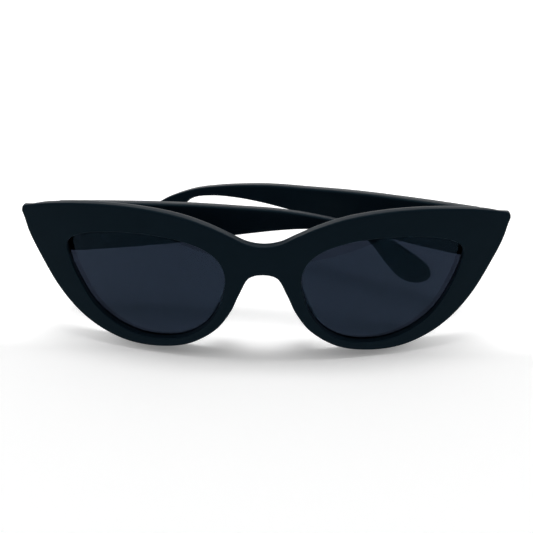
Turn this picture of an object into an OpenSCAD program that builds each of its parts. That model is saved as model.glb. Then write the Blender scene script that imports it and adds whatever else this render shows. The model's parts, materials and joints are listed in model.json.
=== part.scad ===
// Cat eye sunglasses, standing folded on a flat surface.
// The front is drawn upright: X to the wearer's left, Y towards the wearer, Z up,
// with the middle of its outer face at the origin. at_rest() then leans it back
// until both rims and the tip of the upper temple touch the surface.

/* [Front] */
// Overall width of the front, from wing tip to wing tip
front_w = 149; // [140:1:185]
// Overall height of the front, from the brow to the bottom of the rims
front_h = 46; // [42:0.5:56]
// Thickness of the front
front_t = 4.6; // [3.8:0.1:5.6]
// Radius of the front's curve round the face
front_r = 240; // [180:5:400]
// How far the moulded nose pads stand out behind the rims
pad_depth = 3; // [1:0.5:4]

/* [Lenses] */
// Thickness of each lens
lens_t = 1.6; // [1.2:0.1:2]
// Thickness of the lip that the front has behind each lens
back_lip = 0.6; // [0.5:0.1:1]
// Depth of the groove that holds the edge of each lens
lens_lap = 0.8; // [0.5:0.1:1]

/* [Temples] */
// Length of each temple, from its hinge to the end of its tip
temple_l = 115; // [88:1:118]
// Thickness of each temple at its hinge
temple_t = 3.6; // [3:0.1:4.4]
// Thickness of each temple at its tip
tip_t = 2.6; // [2:0.1:3.6]
// Height of each temple at its hinge
temple_h = 16.1; // [13:0.1:18]
// Radius of the bow that bends each temple in towards the head
temple_bow = 600; // [400:20:1200]

/* [Hinges] */
// Radius of the hinge barrels
barrel_r = 1.6; // [1.5:0.1:1.8]
// Height of each of the three barrels
barrel_h = 2.4; // [2:0.1:3]
// Radius of the hinge screw
screw_r = 0.7; // [0.5:0.05:0.9]
// Thickness of the hinge plates
plate_t = 0.8; // [0.6:0.1:1]
// Length of the plate on the temple
temple_plate_l = 15; // [13:0.5:20]
// Length of the plate on the front
front_plate_l = 13; // [12:0.5:14]
// Radius of the rivets
rivet_r = 0.8; // [0.5:0.05:1]

/* [Fold] */
// Angle between the lower temple and the front, 90 when it is open
lower_fold = 2; // [0:0.5:4]
// Angle between the upper temple and the front, 90 when it is open
upper_fold = 21.6; // [20:0.2:40]

/* [Hidden] */

$fn = 96;
plastic = "#15181b";
tint = "#39424f";
metal = "#b8bcc2";

curve_steps = 2;        // straight stretches between two points of an outline
seat_gap = 0.05;        // clearance of a piece that is held in its seat
run_gap = 0.05;         // radial clearance of the hinge screw in the barrels
barrel_gap = 0.1;       // clearance between one barrel and the next
butt_gap = 0.3;         // gap between an open temple's end and the front
open_fold = 90;         // angle of an open temple
rivet_sink = 2.2;       // depth of a rivet below its plate
head_t = 0.4;           // thickness of a rivet's head
head_lap = 0.5;         // how far a rivet's head laps over its hole
slot_w = 0.4;           // width of the slot in a hinge screw's head

// Right half of the front's outline, from the brow's notch round to the nose arch,
// as drawn for a front 149 wide and 46 high.
drawn_w = 149;
drawn_h = 46;
half_outline = [
    [0, 6.1], [5, 6.9], [10, 9.3], [16, 12], [24, 14.7], [34, 16.5], [46, 17.2],
    [58, 16.6], [67, 15.4], [72.3, 14.3], [74, 13.7], [74.5, 12.3], [73.9, 10.2],
    [72.6, 5.4], [69.6, -1.4], [63.8, -12.1], [57.2, -19.9], [50.1, -24.9], [42, -28],
    [32.5, -28.8], [23, -27.2], [14.6, -22], [10, -15.8], [7.2, -9.6], [4.2, -4.2], [0, -3.1]];
// Right lens opening, as seen through the rim, anticlockwise from its outer corner.
opening = [
    [60.3, 2.9], [59, 5.2], [55, 7.1], [48.5, 8.3], [41, 8.7], [33, 8.4], [25, 7.1],
    [18, 4.6], [13.7, 1.2], [11.7, -3.3], [11.8, -8], [14.1, -15.4], [18.5, -21.3],
    [24.4, -24.8], [32.1, -26], [39.5, -25], [46.4, -21.8], [52.6, -16.3], [57.3, -8],
    [59.8, -1]];

// Side outline of a temple: along it from the hinge, and up from the hinge's middle.
drawn_l = 115;
drawn_temple_h = 16.1;
tip_x = 90;             // where the tip starts
butt_x = -4;
temple_top = [
    [butt_x, 10.5], [20, 10.6], [40, 10.5], [56, 10], [68, 9.6], [78, 8.6], [87, 7.2], [94, 5.6]];
temple_tip = [
    [102.6, 2], [107.2, -0.9], [111.4, -3.6], [114.3, -6], [115, -8.2], [113.9, -10.2],
    [111, -11.4], [108, -11.2], [105.4, -9.9]];
temple_bottom = [
    [100.6, -4.7], [97.2, -0.1], [93.6, 2.7], [87, 4], [79, 4.1], [70, 3.3], [56, 1.1],
    [40, -1.6], [24, -3.6], [8, -5], [butt_x, -5.6]];

lens_set = front_t - back_lip - lens_t;         // depth of each lens behind the outer face

// Where the hinges stand
back_r = front_r - front_t;
hinge_x = front_w / 2 - 10.5;
hinge_z = 1.7;
hinge_gap = barrel_r + 0.7;                     // hinge axis to the front's inner face
hinge_turn = asin(hinge_x / (back_r - hinge_gap));
hinge_y = front_r - (back_r - hinge_gap) * cos(hinge_turn);
face_gap = barrel_r + 0.6;                      // hinge axis to the temple's inner face
plate_out = 0.2;                                // how far a plate stands out of the plastic
front_plate_w = 3.8;
temple_plate_w = 4.4;
temple_plate_x = barrel_r + 0.6;
screw_head_r = barrel_r - 0.25;
screw_head_h = 0.7;
hinge_h = 3 * barrel_h;
far = 1000;
deep = 60;

// A smooth curve through points, with the pull of each stretch shared by its length
function knot(a, b) = sqrt(norm(b - a));
function between(a, b, ta, tb, t) = ((tb - t) * a + (t - ta) * b) / (tb - ta);
function stretch(p0, p1, p2, p3, u) =
    let (t1 = knot(p0, p1), t2 = t1 + knot(p1, p2), t3 = t2 + knot(p2, p3))
    let (t = t1 + u * (t2 - t1))
    let (a = between(p0, p1, 0, t1, t), b = between(p1, p2, t1, t2, t), c = between(p2, p3, t2, t3, t))
    between(between(a, b, 0, t2, t), between(b, c, t1, t3, t), t1, t2, t);
function smooth_loop(p) = let (n = len(p)) [
    for (i = [0 : n - 1]) for (k = [0 : curve_steps - 1])
        stretch(p[(i + n - 1) % n], p[i], p[(i + 1) % n], p[(i + 2) % n], k / curve_steps)];
// The same loop, moved out by d along its own normal
function grown(p, d) = let (n = len(p)) [
    for (i = [0 : n - 1])
        let (run = p[(i + 1) % n] - p[(i + n - 1) % n])
        p[i] + d * [run[1], -run[0]] / norm(run)];
function sized(p) = [for (q = p) [q[0] * front_w / drawn_w, q[1] * front_h / drawn_h]];
function turned(p) = [for (i = [len(p) - 1 : -1 : 0]) p[i]];
function mirrored(p) = [for (q = p) [-q[0], q[1]]];

full_outline = smooth_loop(sized(concat(
    half_outline, turned(mirrored([for (i = [1 : len(half_outline) - 2]) half_outline[i]])))));
lens_hole = smooth_loop(sized(opening));

// Side outline of a temple at its real size; the tip keeps its shape when the length changes
function along(x) = x <= 0 ? x
    : x > tip_x ? x + temple_l - drawn_l
    : x * (tip_x + temple_l - drawn_l) / tip_x;
function taper(x) = x > tip_x ? 0 : (tip_x - max(x, 0)) / tip_x;
function temple_sized(p) = [for (q = p)
    [along(q[0]), q[1] * (1 + (temple_h / drawn_temple_h - 1) * taper(q[0]))]];
temple_outline = let (p = temple_sized(concat(temple_top, temple_tip, temple_bottom)))
    let (n = len(p))
    concat([for (i = [0 : n - 2]) for (k = [0 : curve_steps - 1])
        stretch(p[max(i - 1, 0)] - (i == 0 ? [10, 0] : [0, 0]), p[i], p[i + 1],
                p[min(i + 2, n - 1)] - (i == n - 2 ? [10, 0] : [0, 0]), k / curve_steps)], [p[n - 1]]);
outer_bow = 1 / (1 / temple_bow + 2 * (temple_t - tip_t) / pow(temple_l, 2));

// Faces of the front and of a temple
function back_y(x) = front_r - sqrt(pow(back_r, 2) - pow(x, 2));
function face_y(x) = front_r - sqrt(pow(front_r, 2) - pow(x, 2));
function inner_y(x) = face_gap - temple_bow + sqrt(pow(temple_bow, 2) - pow(x, 2));
function outer_y(x) = face_gap + temple_t - outer_bow + sqrt(pow(outer_bow, 2) - pow(x, 2));

// The lean at which both rims and the tip of the upper temple stand on the surface
function height(y, z, lean) = z * cos(lean) - y * sin(lean);
function forward(y, z, lean) = y * cos(lean) + z * sin(lean);
function temple_y(x, y, fold) = hinge_y + x * sin(fold) + y * cos(fold);
function rim_low(lean) = min([for (q = full_outline) height(back_y(q[0]), q[1], lean)]);
function tip_low(lean) = min([for (q = temple_outline) if (q[0] > 0)
    height(temple_y(q[0], outer_y(q[0]), upper_fold), hinge_z + q[1], lean)]);
function find_lean(low, high, turns) =
    let (middle = (low + high) / 2)
    turns == 0 ? middle
    : rim_low(middle) < tip_low(middle) ? find_lean(middle, high, turns - 1)
    : find_lean(low, middle, turns - 1);
lean = find_lean(5, 50, 30);
rest_z = -rim_low(lean);
rest_front = min([for (q = full_outline) forward(face_y(q[0]), q[1], lean)]);
rest_back = max([for (q = temple_outline) if (q[0] > 0)
    forward(temple_y(q[0], outer_y(q[0]), upper_fold), hinge_z + q[1], lean)]);

module at_rest() {
    translate([0, -(rest_front + rest_back) / 2, rest_z])
        rotate([-lean, 0, 0])
            children();
}

// side is 1 for the wearer's left, and -1 for the wearer's right
module on_side(side) {
    mirror([side > 0 ? 1 : 0, 0, 0])
        children();
}

// An upright outline as a bar that runs through the front
module through_front(outline) {
    translate([0, deep, 0])
        rotate([90, 0, 0])
            linear_extrude(2 * deep)
                polygon(outline);
}

// The curved layer between two depths behind the front's outer face
module layer(from, to) {
    translate([0, front_r, -deep])
        difference() {
            cylinder(r = front_r - from, h = 2 * deep, $fn = 720);
            translate([0, 0, -1])
                cylinder(r = front_r - to, h = 2 * deep + 2, $fn = 720);
        }
}

// The hinge's own place: its axis is Z, +X runs in along the front, +Y to the wearer
module at_front_hinge() {
    translate([-hinge_x, hinge_y, hinge_z])
        rotate([0, 0, -hinge_turn])
            children();
}

module at_temple(fold) {
    translate([-hinge_x, hinge_y, hinge_z])
        rotate([0, 0, fold])
            children();
}

function fold_of(side) = side > 0 ? upper_fold : lower_fold;

// The two rivets of a plate, from the head down; gap widens them into their holes
module rivet(gap) {
    translate([0, 0, -rivet_sink - plate_t])
        cylinder(r = rivet_r + gap, h = rivet_sink + plate_t + (gap > 0 ? far : 0.2));
    if (gap == 0)
        cylinder(r = rivet_r + head_lap, h = head_t);
}

module front_rivet_pair(gap) {
    for (up = [-1, 1])
        translate([0, plate_out - hinge_gap, up * (front_plate_l / 2 - 1.6)])
            rotate([-90, 0, 0])
                rivet(gap);
}

temple_rivets_x = [temple_plate_x + 3.6, temple_plate_x + temple_plate_l - 3.2];
module temple_rivet_pair(gap) {
    for (x = temple_rivets_x)
        translate([x, inner_y(temple_rivets_x[1]) - plate_out, 0])
            rotate([90, 0, 0])
                rivet(gap);
}

module front_plate(gap) {
    translate([-front_plate_w / 2 - gap, plate_out - hinge_gap - plate_t - gap, -front_plate_l / 2 - gap])
        cube([front_plate_w + 2 * gap, plate_t + gap + (gap > 0 ? 5 : 0), front_plate_l + 2 * gap]);
}

module temple_plate(gap) {
    face = inner_y(temple_rivets_x[1]) - plate_out;
    translate([temple_plate_x - gap, face - (gap > 0 ? 5 : 0), -temple_plate_w / 2 - gap])
        cube([temple_plate_l + 2 * gap, plate_t + gap + (gap > 0 ? 5 : 0), temple_plate_w + 2 * gap]);
}

module nose_pad() {
    intersection() {
        difference() {
            through_front(full_outline);
            through_front(grown(lens_hole, lens_lap));
        }
        layer(front_t - 0.5, front_t + pad_depth);
        translate([12 * front_w / drawn_w, back_y(12), -14.5 * front_h / drawn_h])
            sphere(r = pad_depth + 5);
    }
}

module front() {
    color(plastic)
        difference() {
            union() {
                intersection() {
                    through_front(full_outline);
                    layer(0, front_t);
                }
                for (side = [-1, 1])
                    on_side(-side)
                        nose_pad();
            }
            for (side = [-1, 1])
                on_side(-side) {
                    through_front(lens_hole);
                    intersection() {
                        through_front(grown(lens_hole, lens_lap + seat_gap));
                        layer(lens_set - seat_gap, lens_set + lens_t + seat_gap);
                    }
                }
            for (side = [-1, 1])
                on_side(side)
                    at_front_hinge() {
                        front_plate(seat_gap);
                        front_rivet_pair(seat_gap);
                    }
        }
}

module lens(side) {
    color(tint)
        on_side(-side)
            intersection() {
                through_front(grown(lens_hole, lens_lap));
                layer(lens_set, lens_set + lens_t);
            }
}

module temple(side) {
    color(plastic)
        on_side(side)
            at_temple(fold_of(side))
                difference() {
                    intersection() {
                        translate([0, deep, 0])
                            rotate([90, 0, 0])
                                linear_extrude(2 * deep)
                                    polygon(temple_outline);
                        translate([0, face_gap + temple_t - outer_bow, -deep])
                            cylinder(r = outer_bow, h = 2 * deep, $fn = 720);
                        rotate([0, 0, -open_fold])
                            translate([hinge_x, front_r - hinge_y, -deep])
                                cylinder(r = back_r - butt_gap, h = 2 * deep, $fn = 720);
                    }
                    translate([0, face_gap - temple_bow, -deep])
                        cylinder(r = temple_bow, h = 2 * deep, $fn = 720);
                    temple_plate(seat_gap);
                    temple_rivet_pair(seat_gap);
                }
}

module barrel(from, to) {
    translate([0, 0, from])
        cylinder(r = barrel_r, h = to - from);
}

module screw_hole() {
    translate([0, 0, -hinge_h])
        cylinder(r = screw_r + run_gap, h = 2 * hinge_h);
}

module front_hinge(side) {
    color(metal)
        on_side(side)
            at_front_hinge()
                difference() {
                    union() {
                        front_plate(0);
                        for (up = [-1, 1])
                            mirror([0, 0, up < 0 ? 1 : 0]) {
                                barrel(barrel_h / 2, hinge_h / 2);
                                translate([-barrel_r * 0.75, -hinge_gap, barrel_h / 2])
                                    cube([barrel_r * 1.5, hinge_gap, barrel_h]);
                            }
                    }
                    screw_hole();
                    front_rivet_pair(seat_gap);
                }
}

module temple_hinge(side) {
    face = inner_y(temple_rivets_x[1]) - plate_out;
    color(metal)
        on_side(side)
            at_temple(fold_of(side))
                difference() {
                    union() {
                        temple_plate(0);
                        barrel(-barrel_h / 2 + barrel_gap, barrel_h / 2 - barrel_gap);
                        translate([0, 0, -barrel_h / 2 + barrel_gap])
                            cube([temple_plate_x + 0.8, face_gap - seat_gap, barrel_h - 2 * barrel_gap]);
                    }
                    screw_hole();
                    temple_rivet_pair(seat_gap);
                }
}

module hinge_screw(side) {
    color(metal)
        on_side(side)
            at_front_hinge()
                difference() {
                    union() {
                        translate([0, 0, -hinge_h / 2])
                            cylinder(r = screw_r, h = hinge_h + 0.2);
                        translate([0, 0, hinge_h / 2])
                            cylinder(r = screw_head_r, h = screw_head_h);
                    }
                    translate([-slot_w / 2, -far / 2, hinge_h / 2 + screw_head_h / 2])
                        cube([slot_w, far, screw_head_h]);
                }
}

module front_rivets(side) {
    color(metal)
        on_side(side)
            at_front_hinge()
                front_rivet_pair(0);
}

module temple_rivets(side) {
    color(metal)
        on_side(side)
            at_temple(fold_of(side))
                temple_rivet_pair(0);
}

at_rest() front();
at_rest() lens(1);  // left_lens
at_rest() lens(-1);  // right_lens
at_rest() temple(1);  // left_temple
at_rest() temple(-1);  // right_temple
at_rest() front_hinge(1);  // left_front_hinge
at_rest() front_hinge(-1);  // right_front_hinge
at_rest() temple_hinge(1);  // left_temple_hinge
at_rest() temple_hinge(-1);  // right_temple_hinge
at_rest() hinge_screw(1);  // left_hinge_screw
at_rest() hinge_screw(-1);  // right_hinge_screw
at_rest() front_rivets(1);  // left_front_rivets
at_rest() front_rivets(-1);  // right_front_rivets
at_rest() temple_rivets(1);  // left_temple_rivets
at_rest() temple_rivets(-1);  // right_temple_rivets
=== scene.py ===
import json
import math

import bpy
import numpy as np
from mathutils import Matrix, Vector


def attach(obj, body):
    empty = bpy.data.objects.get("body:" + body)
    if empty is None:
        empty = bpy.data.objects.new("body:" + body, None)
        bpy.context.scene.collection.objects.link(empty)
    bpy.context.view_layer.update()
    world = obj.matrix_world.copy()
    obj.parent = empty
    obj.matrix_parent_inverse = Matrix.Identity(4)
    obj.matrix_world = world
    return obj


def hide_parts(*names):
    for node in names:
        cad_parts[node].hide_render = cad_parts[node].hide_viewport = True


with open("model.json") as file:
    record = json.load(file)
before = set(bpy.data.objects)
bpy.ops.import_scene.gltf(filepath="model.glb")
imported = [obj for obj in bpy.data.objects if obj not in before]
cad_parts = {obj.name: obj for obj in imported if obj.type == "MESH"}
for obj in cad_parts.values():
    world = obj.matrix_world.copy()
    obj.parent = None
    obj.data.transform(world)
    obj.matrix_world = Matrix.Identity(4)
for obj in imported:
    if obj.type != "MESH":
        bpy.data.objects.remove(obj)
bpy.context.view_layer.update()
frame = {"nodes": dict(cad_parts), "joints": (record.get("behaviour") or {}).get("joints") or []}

MM = 0.001

# ---------------------------------------------------------------- sizes, in mm, as in the CAD source
FRONT_R = 240.0          # radius of the front's curve
FRONT_T = 4.6            # thickness of the front
LENS_SET = 2.4           # depth of the lenses behind the outer face
LENS_T = 1.6
LENS_CENTRE = np.array([36.0, -8.0])
PAD_DEPTH = 3.0          # how far the nose pads stand out behind the front
PAD_AT = (12.0, -14.5)
PAD_FLAT, PAD_END = 2.5, 7.8         # distances from a pad's middle
TIP_THINNER = 2.3        # how much thinner the front is at its wing tips
TIP_FROM, TIP_TO = 65, 75            # where it gets thinner, by x
HINGE_X, HINGE_Z = 64.0, 1.7
HINGE_GAP = 2.3          # hinge axis to the front's inner face
FACE_GAP = 2.2           # hinge axis to a temple's inner face
TEMPLE_T, TIP_T = 3.6, 2.6
TEMPLE_L = 115.0
TEMPLE_BOW = 600.0
FOLDS = {"left": 21.6, "right": 2.0}         # folded short of the front, in degrees
BUTT_GAP = 0.3           # an open temple's butt end to the front
# rings of the butt end: distance from its end, and how much smaller the section is
BUTT_RINGS = [(0.0, 0.35), (0.1, 0.25), (0.35, 0.0), (0.6, 0.0), (1.2, 0.0), (2.4, 0.0)]
LOFT_FROM = 6.0          # where the temple's loft takes over from those rings

FRONT_ROUND = 0.45       # rounding of the outline at the outer face
BACK_ROUND = 0.8         # the same at the back face, before the top edge's own
HOLE_FRONT, HOLE_BACK = 0.3, 0.5     # rounding of the openings' edges
TEMPLE_ROUND = 0.6       # rounding of the temples' long edges
ROUND = 7                # points round a rounded edge
ACROSS = 12              # points across a face
STEPS = 40               # points between two points of an outline

HALF_OUTLINE = [
    (0, 6.1), (5, 6.9), (10, 9.3), (16, 12), (24, 14.7), (34, 16.5), (46, 17.2),
    (58, 16.6), (67, 15.4), (72.3, 14.3), (74, 13.7), (74.5, 12.3), (73.9, 10.2),
    (72.6, 5.4), (69.6, -1.4), (63.8, -12.1), (57.2, -19.9), (50.1, -24.9), (42, -28),
    (32.5, -28.8), (23, -27.2), (14.6, -22), (10, -15.8), (7.2, -9.6), (4.2, -4.2), (0, -3.1)]
OPENING = [
    (60.3, 2.9), (59, 5.2), (55, 7.1), (48.5, 8.3), (41, 8.7), (33, 8.4), (25, 7.1),
    (18, 4.6), (13.7, 1.2), (11.7, -3.3), (11.8, -8), (14.1, -15.4), (18.5, -21.3),
    (24.4, -24.8), (32.1, -26), (39.5, -25), (46.4, -21.8), (52.6, -16.3), (57.3, -8),
    (59.8, -1)]
TEMPLE_TOP = [
    (-4, 10.5), (20, 10.6), (40, 10.5), (56, 10), (68, 9.6), (78, 8.6), (87, 7.2), (94, 5.6)]
TEMPLE_TIP = [
    (102.6, 2), (107.2, -0.9), (111.4, -3.6), (114.3, -6), (115, -8.2), (113.9, -10.2),
    (111, -11.4), (108, -11.2), (105.4, -9.9)]
TEMPLE_BOTTOM = [
    (100.6, -4.7), (97.2, -0.1), (93.6, 2.7), (87, 4), (79, 4.1), (70, 3.3), (56, 1.1),
    (40, -1.6), (24, -3.6), (8, -5), (-4, -5.6)]

# ---------------------------------------------------------------- the frame's own place
BACK_R = FRONT_R - FRONT_T
HINGE_TURN = math.asin(HINGE_X / (BACK_R - HINGE_GAP))
HINGE_Y = FRONT_R - (BACK_R - HINGE_GAP) * math.cos(HINGE_TURN)
OUTER_BOW = 1 / (1 / TEMPLE_BOW + 2 * (TEMPLE_T - TIP_T) / TEMPLE_L ** 2)

joints = {j["name"]: j for j in frame["joints"]}
up = -Vector(joints["left_fold"]["axis"]).normalized()
lean = math.atan2(up.y, up.z)
upright = Matrix.Rotation(-lean, 3, "X")
hinge_at = Vector(joints["left_fold"]["pos_m"])
origin = hinge_at - upright @ (Vector((HINGE_X, HINGE_Y, HINGE_Z)) * MM)


def placed(points):
    """Points of the upright front's own frame, in mm, as points of the row frame, in metres."""
    return (np.asarray(points, float) * MM) @ np.array(upright).T + np.array(origin)


# ---------------------------------------------------------------- curves
def catmull(p0, p1, p2, p3, u):
    """Centripetal Catmull-Rom between p1 and p2, as in the CAD source."""
    knot = lambda a, b: math.sqrt(np.linalg.norm(b - a))
    t1 = knot(p0, p1)
    t2 = t1 + knot(p1, p2)
    t3 = t2 + knot(p2, p3)
    t = (t1 + u * (t2 - t1))[:, None]
    a = (t1 - t) / t1 * p0 + t / t1 * p1
    b = (t2 - t) / (t2 - t1) * p1 + (t - t1) / (t2 - t1) * p2
    c = (t3 - t) / (t3 - t2) * p2 + (t - t2) / (t3 - t2) * p3
    d = (t2 - t) / t2 * a + t / t2 * b
    e = (t3 - t) / (t3 - t1) * b + (t - t1) / (t3 - t1) * c
    return (t2 - t) / (t2 - t1) * d + (t - t1) / (t2 - t1) * e


def loop(points, steps=STEPS):
    """A smooth closed curve through all its points."""
    p = [np.array(q, float) for q in points]
    n = len(p)
    u = np.linspace(0, 1, steps, endpoint=False)
    return np.concatenate([
        catmull(p[i - 1], p[i], p[(i + 1) % n], p[(i + 2) % n], u) for i in range(n)])


def curve(points, steps=STEPS):
    """The same, open."""
    p = [np.array(q, float) for q in points]
    p = [2 * p[0] - p[1]] + p + [2 * p[-1] - p[-2]]
    u = np.linspace(0, 1, steps, endpoint=False)
    parts = [catmull(p[i - 1], p[i], p[i + 1], p[i + 2], u) for i in range(1, len(p) - 2)]
    return np.concatenate(parts + [p[-2][None]])


def resampled(line, count, bend=0.0):
    """count + 1 points along an open line, closer together where it bends."""
    run = np.diff(line, axis=0)
    ds = np.hypot(run[:, 0], run[:, 1])
    turn = np.unwrap(np.arctan2(run[:, 1], run[:, 0]))
    extra = np.abs(np.gradient(turn))
    s = np.concatenate([[0], np.cumsum(ds + bend * extra)])
    at = np.linspace(0, s[-1], count + 1)
    return np.c_[np.interp(at, s, line[:, 0]), np.interp(at, s, line[:, 1])]


def resampled_at(line, shares):
    """Points at shares of an open line's length."""
    run = np.diff(line, axis=0)
    s = np.concatenate([[0], np.cumsum(np.hypot(run[:, 0], run[:, 1]))])
    at = shares * s[-1]
    return np.c_[np.interp(at, s, line[:, 0]), np.interp(at, s, line[:, 1])]


def normals_of(line, closed):
    """Unit normals to the left of the line's run."""
    if closed:
        run = np.roll(line, -1, 0) - np.roll(line, 1, 0)
    else:
        run = np.gradient(line, axis=0)
    n = np.c_[-run[:, 1], run[:, 0]]
    return n / np.linalg.norm(n, axis=1)[:, None]


def smoothstep(a, b, x):
    """A smooth rise from 0 at a to 1 at b."""
    t = np.clip((np.asarray(x, float) - a) / (b - a), 0, 1)
    return t * t * (3 - 2 * t)


# ---------------------------------------------------------------- meshes
def new_piece(name, points, faces, body, replaced):
    """A smooth-shaded piece that rides on a body, in place of the CAD's nodes."""
    mesh = bpy.data.meshes.new(name)
    mesh.from_pydata([tuple(p) for p in points], [], [tuple(int(i) for i in f) for f in faces])
    mesh.validate()
    mesh.polygons.foreach_set("use_smooth", [True] * len(mesh.polygons))
    mesh.update()
    piece = bpy.data.objects.new(name, mesh)
    bpy.context.scene.collection.objects.link(piece)
    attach(piece, body)
    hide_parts(*replaced)
    return piece


def strip(rows, closed_rows, closed_cols, flip=False):
    """Quads over a grid of vertex numbers."""
    faces = []
    n, m = rows.shape
    for i in range(n if closed_rows else n - 1):
        for j in range(m if closed_cols else m - 1):
            a, b = rows[i, j], rows[(i + 1) % n, j]
            c, d = rows[(i + 1) % n, (j + 1) % m], rows[i, (j + 1) % m]
            quad = tuple(dict.fromkeys((a, b, c, d)))
            if len(quad) > 2:
                faces.append(quad[::-1] if flip else quad)
    return faces


hole_dense = loop(OPENING)
hole_out = -normals_of(hole_dense, True)      # anticlockwise loop: outwards is right of the run


def hole_at(angle, grow):
    """The opening's outline, grown by some mm, at an angle about the lens's middle."""
    line = hole_dense + hole_out * grow
    d = line - LENS_CENTRE
    t = np.unwrap(np.arctan2(d[:, 1], d[:, 0]))
    order = np.argsort(t)
    t, line = t[order], line[order]
    turns = np.arange(-2, 3)
    t = np.concatenate([t + 2 * math.pi * k for k in turns])
    line = np.concatenate([line] * len(turns))
    return np.c_[np.interp(angle, t, line[:, 0]), np.interp(angle, t, line[:, 1])]


def bent(xz, depth):
    """Points at a depth behind the front's curved outer face."""
    x = xz[..., 0]
    y = FRONT_R - np.sqrt((FRONT_R - depth) ** 2 - x ** 2)
    return np.stack([x, y, xz[..., 1]], -1)


def pad_height(xz):
    """How far the nose pad stands out of the back face."""
    d = np.hypot(xz[..., 0] - PAD_AT[0], xz[..., 1] - PAD_AT[1])
    return PAD_DEPTH * (1 - smoothstep(PAD_FLAT, PAD_END, d))


def back_depth(xz):
    """Depth of the back face: level, with the nose pads, and less at the wing tips."""
    return FRONT_T + pad_height(xz) - TIP_THINNER * smoothstep(TIP_FROM, TIP_TO, xz[..., 0])


def always_on(angle):
    """Angles of rays that go once round, evened out until none bunches up or turns back."""
    way = 1 if angle[-1] > angle[0] else -1
    step = np.diff(np.append(angle, angle[0] + way * 2 * math.pi)) * way
    for _ in range(EVEN_TRIES):
        step = (np.roll(step, 1) + 2 * step + np.roll(step, -1)) / 4
        if step.min() > EVEN:
            break
    step = np.maximum(step, LEAST_STEP)
    step *= 2 * math.pi / step.sum()
    return angle[0] + way * np.concatenate([[0], np.cumsum(step)[:-1]])


EVEN = 0.01              # least step between two rays, in radians
EVEN_TRIES = 3000
LEAST_STEP = 0.002


def front_half():
    """The wearer's left half of the front: cross-sections on rays from the lens's middle."""
    whole = loop(HALF_OUTLINE + [(-x, z) for x, z in HALF_OUTLINE[-2:0:-1]])
    half = whole[: (len(HALF_OUTLINE) - 1) * STEPS + 1]
    edge = resampled(half, 300, 2.2)
    edge[0, 0] = edge[-1, 0] = 0.0
    inward = -normals_of(edge, False)          # clockwise run: inside is on its right
    inward[0] = (0, -1)
    inward[-1] = (0, 1)
    r_front = np.full(len(edge), FRONT_ROUND)
    # the back's top edge is rounder, and the more so towards the wings, but not at their tips
    top = smoothstep(1, 5, edge[:, 1]) * (1 - smoothstep(70, 74, edge[:, 0]))
    r_back = BACK_ROUND + top * (0.8 + 0.8 * smoothstep(14, 48, edge[:, 0])
                                 + 0.6 * smoothstep(54, 66, edge[:, 0]))
    # the middle line, from the nose arch up to the brow's notch
    low, high = edge[-1, 1] + r_front[-1], edge[0, 1] - r_front[0]
    low_b, high_b = edge[-1, 1] + r_back[-1], edge[0, 1] - r_back[0]
    middle_n = 9
    mid = np.linspace(0, 1, middle_n + 2)[1:-1]
    n = len(edge)
    rays = n + middle_n
    outer_f = np.zeros((rays, 2))
    outer_b = np.zeros((rays, 2))
    outer_f[:n] = edge + inward * r_front[:, None]
    outer_b[:n] = edge + inward * r_back[:, None]
    outer_f[n:, 1] = low + (high - low) * mid
    outer_b[n:, 1] = low_b + (high_b - low_b) * mid
    d = np.concatenate([edge, outer_f[n:]]) - LENS_CENTRE
    angle = always_on(np.unwrap(np.arctan2(d[:, 1], d[:, 0])))
    inner_f = hole_at(angle, HOLE_FRONT)
    inner_b = hole_at(angle, HOLE_BACK)
    share = np.linspace(0, 1, ACROSS)[None, :, None]
    face_f = inner_f[:, None] * (1 - share) + outer_f[:, None] * share
    face_b = inner_b[:, None] * (1 - share) + outer_b[:, None] * share
    blocks, index, start = [], {}, 0

    def add(name, pts):
        nonlocal start
        rows = np.arange(pts.shape[0] * pts.shape[1]).reshape(pts.shape[:2]) + start
        start += rows.size
        blocks.append(pts.reshape(-1, 3))
        index[name] = rows

    add("front", bent(face_f, np.zeros(face_f.shape[:2])))
    add("back", bent(face_b, back_depth(face_b)))
    turn = np.linspace(0, math.pi / 2, ROUND)
    # the opening's edge: from the front face in to the back face
    hole_wall = []
    for a in turn[1:]:
        q = hole_at(angle, HOLE_FRONT * (1 - math.sin(a)))
        hole_wall.append(bent(q, np.full(len(q), HOLE_FRONT * (1 - math.cos(a)))))
    q = hole_at(angle, 0.0)
    wall = back_depth(q) - HOLE_BACK - HOLE_FRONT
    for s in (0.25, 0.5, 0.75):
        hole_wall.append(bent(q, HOLE_FRONT + s * wall))
    deep = back_depth(hole_at(angle, HOLE_BACK))
    for a in turn[:-1]:
        q = hole_at(angle, HOLE_BACK * (1 - math.cos(a)))
        hole_wall.append(bent(q, deep - HOLE_BACK * (1 - math.sin(a))))
    add("hole", np.stack(hole_wall, 1))
    # the outline's edge, likewise
    rim = []
    for a in turn[1:]:
        q = edge + inward * (r_front * (1 - math.sin(a)))[:, None]
        rim.append(bent(q, r_front * (1 - math.cos(a))))
    deep = back_depth(edge + inward * r_back[:, None])
    for s in (0.25, 0.5, 0.75):
        rim.append(bent(edge, r_front + s * (deep - r_back - r_front)))
    for a in turn[:-1]:
        q = edge + inward * (r_back * (1 - math.cos(a)))[:, None]
        rim.append(bent(q, deep - r_back * (1 - math.sin(a))))
    add("rim", np.stack(rim, 1))
    points = np.concatenate(blocks)
    f, b, h, r = index["front"], index["back"], index["hole"], index["rim"]
    faces = strip(f, True, False) + strip(b, True, False, True)
    hole_rows = np.concatenate([f[:, :1], h, b[:, :1]], 1)
    faces += strip(hole_rows, True, False, True)
    rim_rows = np.concatenate([f[:n, -1:], r, b[:n, -1:]], 1)
    faces += strip(rim_rows, False, False)
    return points, faces


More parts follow.
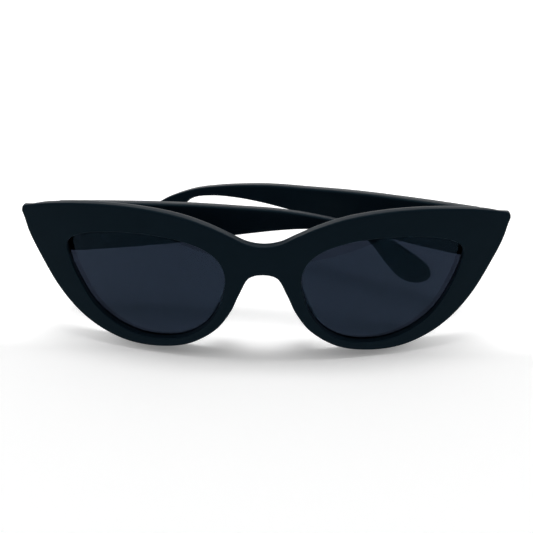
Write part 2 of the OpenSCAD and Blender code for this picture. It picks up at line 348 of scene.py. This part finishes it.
def make_front():
    """Both halves of the front, welded along the middle."""
    points, faces = front_half()
    n = len(points)
    mirror = points * np.array([-1, 1, 1])
    both = np.concatenate([points, mirror])
    weld = np.arange(2 * n)
    on_middle = np.abs(points[:, 0]) < 1e-6
    weld[n:][on_middle] = np.arange(n)[on_middle]
    used = np.unique(weld)
    renumber = -np.ones(2 * n, int)
    renumber[used] = np.arange(len(used))
    all_faces = [tuple(renumber[weld[i]] for i in f) for f in faces]
    all_faces += [tuple(renumber[weld[i + n]] for i in f[::-1]) for f in faces]
    return new_piece("front_moulding", placed(both[used]), all_faces, "front", ["front"])


def make_lens(side):
    """A lens; its edge sits inside the rim, so the last rings are hidden there."""
    around = 180
    angle = np.linspace(-math.pi, math.pi, around, endpoint=False)
    share = np.linspace(0, 1, 18)[1:][None, :, None]
    seen = LENS_CENTRE + (hole_at(angle, 0.1)[:, None] - LENS_CENTRE) * share
    in_rim = [hole_at(angle, grow)[:, None] for grow in (0.3, 0.45, 0.5)]
    xz = np.concatenate([seen] + in_rim, 1)
    rings = xz.shape[1]
    blocks = []
    for depth in (LENS_SET, LENS_SET + LENS_T):
        blocks.append(bent(xz, np.full(xz.shape[:2], depth)).reshape(-1, 3))
        blocks.append(bent(LENS_CENTRE[None], np.array([depth])))
    size = around * rings
    rows_f = np.arange(size).reshape(around, rings)
    rows_b = rows_f + size + 1
    centre_f, centre_b = size, 2 * size + 1
    faces = strip(rows_f, True, False, True) + strip(rows_b, True, False)
    for i in range(around):
        k = (i + 1) % around
        faces.append((centre_f, rows_f[i, 0], rows_f[k, 0]))
        faces.append((centre_b, rows_b[k, 0], rows_b[i, 0]))
        faces.append((rows_f[i, -1], rows_b[i, -1], rows_b[k, -1], rows_f[k, -1]))
    points = np.concatenate(blocks)
    if side < 0:
        points = points * np.array([-1, 1, 1])
        faces = [f[::-1] for f in faces]
    name = "left" if side > 0 else "right"
    return new_piece(name + "_lens_polished", placed(points), faces, "front",
                     [name + "_lens"])


def temple_faces(x):
    """Depths of a temple's inner and outer face at a distance from the hinge axis."""
    inner = FACE_GAP - TEMPLE_BOW + np.sqrt(TEMPLE_BOW ** 2 - x ** 2)
    outer = FACE_GAP + TEMPLE_T - OUTER_BOW + np.sqrt(OUTER_BOW ** 2 - x ** 2)
    return inner, outer


def make_temple(side):
    """A temple lofted from its butt end to the round end of its paddle."""
    line = curve(TEMPLE_TOP + TEMPLE_TIP + TEMPLE_BOTTOM)
    # the end of the paddle splits the outline into its upper and its lower edge
    at = (len(TEMPLE_TOP) + 4) * STEPS + STEPS // 4
    upper, lower = line[: at + 1], line[at:][::-1]
    stations = 190
    s = np.linspace(0, 1, stations + 1)
    s = 1 - (1 - s) ** 1.35                       # closer together towards the tip
    top = resampled_at(upper, s)
    low = resampled_at(lower, s)
    half = np.linalg.norm(top - low, axis=1) / 2
    across = (top - low) / np.maximum(2 * half, 1e-6)[:, None]
    middle = (top + low) / 2
    inner, outer = temple_faces(middle[:, 0])
    r = np.minimum(np.minimum(TEMPLE_ROUND, 0.42 * (outer - inner)), half * 0.9)
    quarter = np.linspace(0, math.pi / 2, 6)
    flat = np.linspace(-1, 1, 7)
    # once round a section, from the lower edge up the inner face: place, share or angle, outside
    rows = [("flat", k, False) for k in flat]
    rows += [("top_in", a, False) for a in quarter[1:]]
    rows += [("top_out", a, True) for a in quarter[1:]]
    rows += [("flat", k, True) for k in flat[::-1][1:]]
    rows += [("low_out", a, True) for a in quarter[1:]]
    rows += [("low_in", a, False) for a in quarter[1:-1]]
    rings = []
    for place, v, outside in rows:
        if place == "flat":
            across_by, inset = v * (half - r), np.zeros_like(r)
        elif place == "top_in":
            across_by, inset = half - r + r * math.sin(v), r * (1 - math.cos(v))
        elif place == "top_out":
            across_by, inset = half - r + r * math.cos(v), r * (1 - math.sin(v))
        elif place == "low_out":
            across_by, inset = -(half - r + r * math.sin(v)), r * (1 - math.cos(v))
        else:
            across_by, inset = -(half - r + r * math.cos(v)), r * (1 - math.sin(v))
        xz = middle + across * across_by[:, None]
        inner, outer = temple_faces(xz[:, 0])
        y = outer - inset if outside else inner + inset
        rings.append(np.c_[xz[:, 0], y, xz[:, 1]])
    loft = np.stack(rings, 1)                     # station, ring point, xyz
    loft = loft[int(np.argmax(loft[:, :, 0].min(1) > LOFT_FROM)):]

    # the butt end stands clear of the front's curved back when the temple is open
    def butt_x(y):
        reach = BACK_R - BUTT_GAP
        return FRONT_R - HINGE_Y - np.sqrt(reach ** 2 - (y + HINGE_X) ** 2)

    ends = []
    for inset_x, shrink in BUTT_RINGS:
        ring = loft[0].copy()
        centre = ring[:, 1:].mean(0)
        v = ring[:, 1:] - centre
        length = np.linalg.norm(v, axis=1)
        ring[:, 1:] = centre + v * (1 - shrink / np.maximum(length, 1e-6))[:, None]
        ring[:, 0] = butt_x(ring[:, 1]) + inset_x
        ends.append(ring)
    grid = np.concatenate([np.stack(ends), loft])
    n, m = grid.shape[:2]
    number = np.arange(n * m).reshape(n, m)
    faces = strip(number, False, True)
    butt, tip = n * m, n * m + 1                  # the caps' middle points
    for j in range(m):
        faces.append((butt, number[0, j], number[0, (j + 1) % m]))
    for j in range(m):
        faces.append((tip, number[-1, (j + 1) % m], number[-1, j]))
    butt_middle = grid[0].mean(0)
    butt_middle[0] = butt_x(butt_middle[1])
    points = np.concatenate([grid.reshape(-1, 3), [butt_middle, grid[-1].mean(0)]])
    # to the front's frame: folded about the hinge
    name = "left" if side > 0 else "right"
    fold = math.radians(FOLDS[name])
    x = -HINGE_X + points[:, 0] * math.cos(fold) - points[:, 1] * math.sin(fold)
    y = HINGE_Y + points[:, 0] * math.sin(fold) + points[:, 1] * math.cos(fold)
    z = HINGE_Z + points[:, 2]
    if side > 0:
        x = -x
        faces = [f[::-1] for f in faces]
    return new_piece(name + "_temple_moulding", placed(np.c_[x, y, z]), faces, name + "_temple",
                     [name + "_temple"])


# ---------------------------------------------------------------- materials
def new_material(name):
    """A new material with its nodes, its links and its shader."""
    mat = bpy.data.materials.new(name)
    mat.use_nodes = True
    nodes, links = mat.node_tree.nodes, mat.node_tree.links
    shader = nodes["Principled BSDF"]
    return mat, nodes, links, shader


def noise(nodes, links, scale, detail, rough, vector):
    n = nodes.new("ShaderNodeTexNoise")
    n.inputs["Scale"].default_value = scale
    n.inputs["Detail"].default_value = detail
    n.inputs["Roughness"].default_value = rough
    links.new(vector, n.inputs["Vector"])
    return n


def ramp(nodes, links, value, stops):
    """A colour ramp of (position, colour) stops."""
    r = nodes.new("ShaderNodeValToRGB")
    r.color_ramp.elements[0].position, r.color_ramp.elements[1].position = stops[0][0], stops[-1][0]
    r.color_ramp.elements[0].color = (*stops[0][1], 1)
    r.color_ramp.elements[1].color = (*stops[-1][1], 1)
    for pos, col in stops[1:-1]:
        e = r.color_ramp.elements.new(pos)
        e.color = (*col, 1)
    links.new(value, r.inputs["Fac"])
    return r


def spread(nodes, links, value, low, high):
    """A noise's middle range, 0.3 to 0.7, spread over low to high."""
    r = nodes.new("ShaderNodeMapRange")
    r.inputs["From Min"].default_value = 0.3
    r.inputs["From Max"].default_value = 0.7
    r.inputs["To Min"].default_value = low
    r.inputs["To Max"].default_value = high
    links.new(value, r.inputs["Value"])
    return r.outputs["Result"]


def plastic_material():
    """Satin black plastic: a faint cloud, uneven sheen and a fine grain."""
    mat, nodes, links, shader = new_material("black_plastic")
    where = nodes.new("ShaderNodeTexCoord").outputs["Object"]
    cloud = noise(nodes, links, 70, 4, 0.55, where)
    tone = ramp(nodes, links, cloud.outputs["Fac"],
                [(0.3, (0.0040, 0.0092, 0.0150)), (0.7, (0.0048, 0.0106, 0.0170))])
    links.new(tone.outputs["Color"], shader.inputs["Base Color"])
    smear = noise(nodes, links, 90, 1, 0.4, where)
    links.new(spread(nodes, links, smear.outputs["Fac"], 0.29, 0.32), shader.inputs["Roughness"])
    grain = noise(nodes, links, 2600, 1, 0.4, where)
    bump = nodes.new("ShaderNodeBump")
    bump.inputs["Strength"].default_value = 0.04
    bump.inputs["Distance"].default_value = 0.00002
    links.new(grain.outputs["Fac"], bump.inputs["Height"])
    links.new(bump.outputs["Normal"], shader.inputs["Normal"])
    shader.inputs["IOR"].default_value = 1.46
    shader.inputs["Specular IOR Level"].default_value = 0.055
    shader.inputs["Specular Tint"].default_value = (0.6, 0.95, 1.0, 1)
    return mat


def lens_material():
    """Polished dark tint, hardly uneven."""
    mat, nodes, links, shader = new_material("tinted_lens")
    where = nodes.new("ShaderNodeTexCoord").outputs["Object"]
    haze = noise(nodes, links, 45, 3, 0.5, where)
    tone = ramp(nodes, links, haze.outputs["Fac"],
                [(0.3, (0.0117, 0.0154, 0.0253)), (0.7, (0.0127, 0.0168, 0.0272))])
    links.new(tone.outputs["Color"], shader.inputs["Base Color"])
    shader.inputs["Roughness"].default_value = 0.0
    shader.inputs["Transmission Weight"].default_value = 1.0
    shader.inputs["IOR"].default_value = 1.45
    shader.inputs["Specular Tint"].default_value = (0.06, 0.16, 0.26, 1)
    return mat


def metal_material(name, dark, light, rough_low, rough_high, stretch):
    """Metal with a brushed tone, sheen and grain, drawn out by the stretch."""
    mat, nodes, links, shader = new_material(name)
    mapping = nodes.new("ShaderNodeMapping")
    mapping.inputs["Scale"].default_value = stretch
    links.new(nodes.new("ShaderNodeTexCoord").outputs["Object"], mapping.inputs["Vector"])
    brush = noise(nodes, links, 1500, 4, 0.6, mapping.outputs["Vector"])
    tone = ramp(nodes, links, brush.outputs["Fac"], [(0.3, dark), (0.7, light)])
    links.new(tone.outputs["Color"], shader.inputs["Base Color"])
    links.new(spread(nodes, links, brush.outputs["Fac"], rough_low, rough_high),
              shader.inputs["Roughness"])
    bump = nodes.new("ShaderNodeBump")
    bump.inputs["Strength"].default_value = 0.15
    bump.inputs["Distance"].default_value = 0.00003
    links.new(brush.outputs["Fac"], bump.inputs["Height"])
    links.new(bump.outputs["Normal"], shader.inputs["Normal"])
    shader.inputs["Metallic"].default_value = 1.0
    return mat


plastic = plastic_material()
tint = lens_material()
plate_steel = metal_material("plate_steel", (0.03, 0.032, 0.036), (0.045, 0.047, 0.051), 0.4, 0.5,
                             (1, 1, 8))
screw_steel = metal_material("screw_steel", (0.55, 0.56, 0.58), (0.66, 0.67, 0.69), 0.16, 0.26,
                             (1, 1, 1))

make_front().data.materials.append(plastic)
for side in (1, -1):                              # the wearer's left, then right
    make_lens(side).data.materials.append(tint)
    make_temple(side).data.materials.append(plastic)

# the hinges, screws and rivets are carried over from the CAD
for name, node in frame["nodes"].items():
    if node.hide_render:
        continue
    finish = plate_steel if name.endswith("_hinge") else screw_steel
    node.data.materials.clear()
    node.data.materials.append(finish)

# ---------------------------------------------------------------- floor and light
FLOOR_WHITE = 0.96
# ahead of the frame an even white; behind it a much larger share, painted light that washes out the
# frame's shadows on the floor
GLOW_AHEAD, PAINTED_LIGHT_BEHIND = 0.07, 0.42       # plain white added to the floor's look
AHEAD_Y, BEHIND_Y = -0.028, -0.020         # where one turns into the other, in metres
FLOOR_SIZE = 3.0
SKY_LEAN = math.radians(26.5)
# brightness of the studio by how far a direction lies behind a leaning plane, -1 to 1
SKY = [(-1.0, 0.32), (-0.6, 0.38), (-0.32, 0.5), (-0.1, 1.0), (0.1, 1.0), (0.3, 0.6),
       (0.65, 0.4), (1.0, 0.24)]
# a softbox in that plane: full within the first number, gone beyond the second
SOFTBOX_MOST = 13.1
SOFTBOX_EDGES = (0.05, 0.14)         # by the same measure
SOFTBOX_ENDS = (0.1, 0.5)            # by how far a direction lies to the side


def make_floor():
    """A plain white floor that keeps the shadow ahead of the frame; behind the frame, painted light
    washes the shadows out.
    """
    corners = [(-1, -1), (1, -1), (1, 1), (-1, 1)]
    mesh = bpy.data.meshes.new("floor")
    mesh.from_pydata([(x * FLOOR_SIZE, y * FLOOR_SIZE, 0) for x, y in corners], [], [(0, 1, 2, 3)])
    floor = bpy.data.objects.new("floor", mesh)
    bpy.context.scene.collection.objects.link(floor)
    mat, nodes, links, shader = new_material("white_floor")
    shader.inputs["Base Color"].default_value = (FLOOR_WHITE, FLOOR_WHITE, FLOOR_WHITE, 1)
    shader.inputs["Roughness"].default_value = 1.0
    shader.inputs["Specular IOR Level"].default_value = 0.0
    # a share of plain white for what looks straight at the floor; its shadows stay ahead of the
    # frame, while behind it much more white is added, painted light that washes the frame's shadows
    # out
    path = nodes.new("ShaderNodeLightPath")
    seen = path.outputs["Is Camera Ray"]
    for ray in ("Is Glossy Ray", "Is Transmission Ray"):
        most = nodes.new("ShaderNodeMath")
        most.operation = "MAXIMUM"
        links.new(seen, most.inputs[0])
        links.new(path.outputs[ray], most.inputs[1])
        seen = most.outputs[0]
    where = nodes.new("ShaderNodeSeparateXYZ")
    links.new(nodes.new("ShaderNodeTexCoord").outputs["Object"], where.inputs["Vector"])
    # painted light: the added white rises from the even share ahead of the frame to much more behind
    # it, to wash out the frame's shadows there
    plain_white_and_painted_light = nodes.new("ShaderNodeMapRange")
    plain_white_and_painted_light.inputs["From Min"].default_value = AHEAD_Y
    plain_white_and_painted_light.inputs["From Max"].default_value = BEHIND_Y
    plain_white_and_painted_light.inputs["To Min"].default_value = GLOW_AHEAD
    plain_white_and_painted_light.inputs["To Max"].default_value = PAINTED_LIGHT_BEHIND
    links.new(where.outputs["Y"], plain_white_and_painted_light.inputs["Value"])
    share = nodes.new("ShaderNodeMath")
    share.operation = "MULTIPLY"
    links.new(seen, share.inputs[0])
    links.new(plain_white_and_painted_light.outputs["Result"], share.inputs[1])
    glow = nodes.new("ShaderNodeEmission")
    links.new(share.outputs[0], glow.inputs["Strength"])
    both = nodes.new("ShaderNodeAddShader")
    links.new(shader.outputs[0], both.inputs[0])
    links.new(glow.outputs[0], both.inputs[1])
    links.new(both.outputs[0], nodes["Material Output"].inputs["Surface"])
    mesh.materials.append(mat)


make_floor()

scene = bpy.context.scene
world = bpy.data.worlds.new("studio")
scene.world = world
world.use_nodes = True
tree = world.node_tree
sky = tree.nodes["Background"]
facing = tree.nodes.new("ShaderNodeVectorMath")
facing.operation = "DOT_PRODUCT"
facing.inputs[1].default_value = (0, math.cos(SKY_LEAN), -math.sin(SKY_LEAN))
direction = tree.nodes.new("ShaderNodeTexCoord").outputs["Generated"]
tree.links.new(direction, facing.inputs[0])
behind = tree.nodes.new("ShaderNodeMapRange")
behind.inputs["From Min"].default_value = -1.0
tree.links.new(facing.outputs["Value"], behind.inputs["Value"])
shade = ramp(tree.nodes, tree.links, behind.outputs["Result"],
             [((t + 1) / 2, (v,) * 3) for t, v in SKY])
shade.color_ramp.interpolation = "EASE"
sideways = tree.nodes.new("ShaderNodeSeparateXYZ")
tree.links.new(direction, sideways.inputs["Vector"])
softbox = tree.nodes.new("ShaderNodeMath")
softbox.operation = "MULTIPLY"
for i, (value, (full, none)) in enumerate(((facing.outputs["Value"], SOFTBOX_EDGES),
                                           (sideways.outputs["X"], SOFTBOX_ENDS))):
    off = tree.nodes.new("ShaderNodeMath")
    off.operation = "ABSOLUTE"
    tree.links.new(value, off.inputs[0])
    fade = tree.nodes.new("ShaderNodeMapRange")
    fade.interpolation_type = "SMOOTHSTEP"
    fade.inputs["From Min"].default_value = full
    fade.inputs["From Max"].default_value = none
    fade.inputs["To Min"].default_value = 1.0
    fade.inputs["To Max"].default_value = 0.0
    tree.links.new(off.outputs[0], fade.inputs["Value"])
    tree.links.new(fade.outputs["Result"], softbox.inputs[i])
bright = tree.nodes.new("ShaderNodeMath")
bright.operation = "MULTIPLY_ADD"
tree.links.new(softbox.outputs[0], bright.inputs[0])
bright.inputs[1].default_value = SOFTBOX_MOST
tree.links.new(shade.outputs["Color"], bright.inputs[2])
tree.links.new(bright.outputs[0], sky.inputs["Color"])
sky.inputs["Strength"].default_value = 1.0

# ---------------------------------------------------------------- camera
LOOK_UP = math.radians(24)      # camera above the front's own normal
LOOK_YAW = math.radians(2.09)
LOOK_ROLL = math.radians(0.11)
DISTANCE = 350.0
SHIFT_X = 1.04
turned = np.array([[math.cos(LOOK_YAW), -math.sin(LOOK_YAW), 0],
                   [math.sin(LOOK_YAW), math.cos(LOOK_YAW), 0], [0, 0, 1]])
forward = turned @ np.array([0, math.cos(LOOK_UP), -math.sin(LOOK_UP)])
above = turned @ np.array([0, math.sin(LOOK_UP), math.cos(LOOK_UP)])
rightward = turned @ np.array([1.0, 0, 0])
eye = turned @ (-DISTANCE * np.array([0, math.cos(LOOK_UP), -math.sin(LOOK_UP)])
                + np.array([SHIFT_X, 0, 0]))
rolled_right = rightward * math.cos(LOOK_ROLL) + above * math.sin(LOOK_ROLL)
rolled_up = above * math.cos(LOOK_ROLL) - rightward * math.sin(LOOK_ROLL)
axes = np.array(upright) @ np.stack([rolled_right, rolled_up, -forward], 1)
camera = bpy.data.objects.new("camera", bpy.data.cameras.new("camera"))
scene.collection.objects.link(camera)
place = Matrix([list(axes[i]) + [placed(eye[None])[0][i]] for i in range(3)] + [[0, 0, 0, 1]])
camera.matrix_world = place
camera.data.sensor_width = 36
camera.data.lens = 79.0
camera.data.clip_start = 0.01
camera.data.clip_end = 10
scene.camera = camera
scene.view_settings.view_transform = "Standard"
